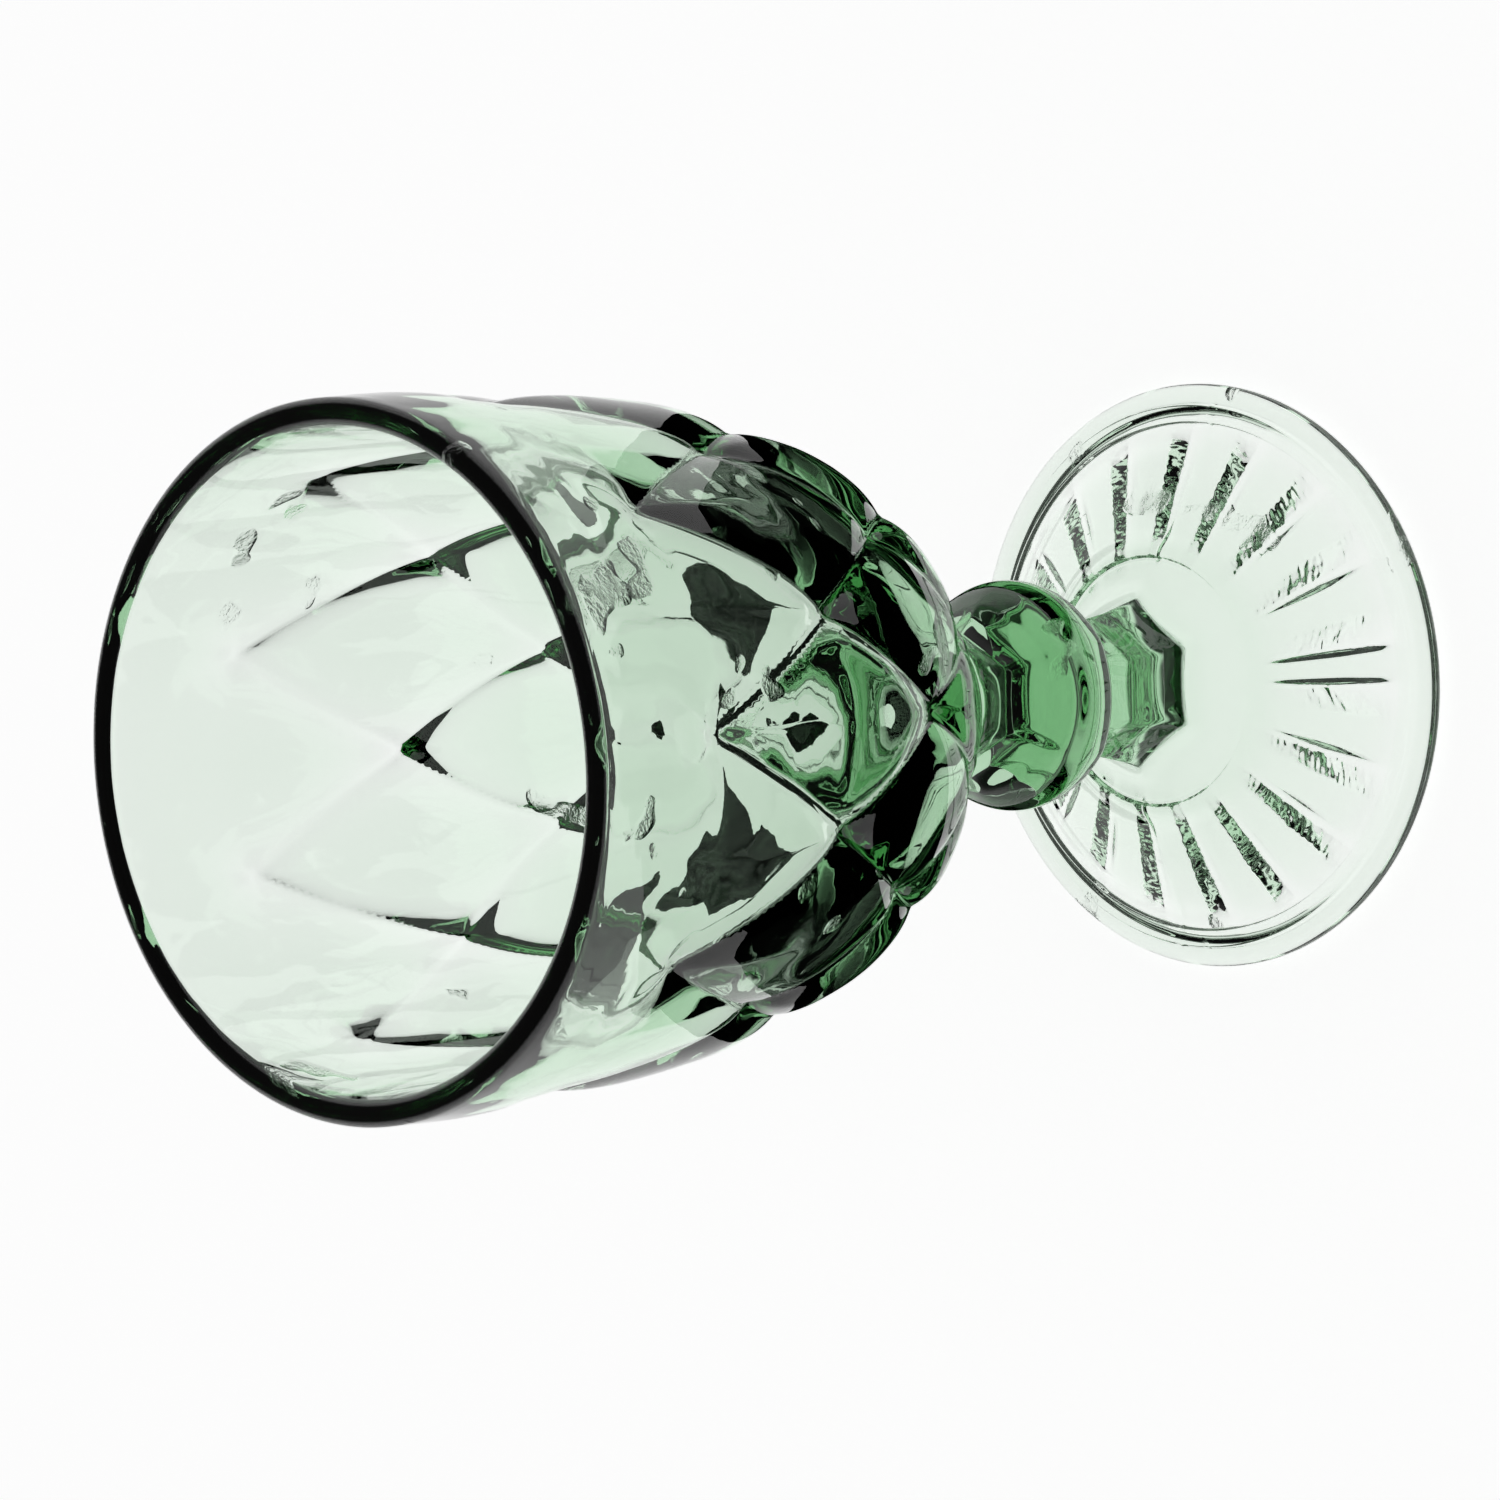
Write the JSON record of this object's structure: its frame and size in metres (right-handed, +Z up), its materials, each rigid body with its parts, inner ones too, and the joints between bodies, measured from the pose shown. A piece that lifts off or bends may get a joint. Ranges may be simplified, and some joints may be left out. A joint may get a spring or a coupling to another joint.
{
  "type": "wine glass",
  "caption": "Footed wine glass in pale green pressed glass: deep bowl cut with diamonds, round knop, short six-sided stem and a wide ringed foot",
  "frame": {"origin": "centre of the flat ring under the foot, on the surface that the glass stands on", "axes": "+Z up along the glass's axis, from the foot to the rim; -Y faces one of the bowl's upper diamond corners"},
  "size_m": [0.0854, 0.0854, 0.16],
  "materials": {
    "bowl_glass": "fire-polished pressed green glass",
    "stem_glass": "thick pressed green glass, deep in colour",
    "foot_glass": "pressed green glass with mould seams and chill ripples"
  },
  "bodies": {
    "root": {"bowl": "bowl_glass", "knop": "stem_glass", "stem": "stem_glass", "foot": "foot_glass"}
  },
  "joints": []
}
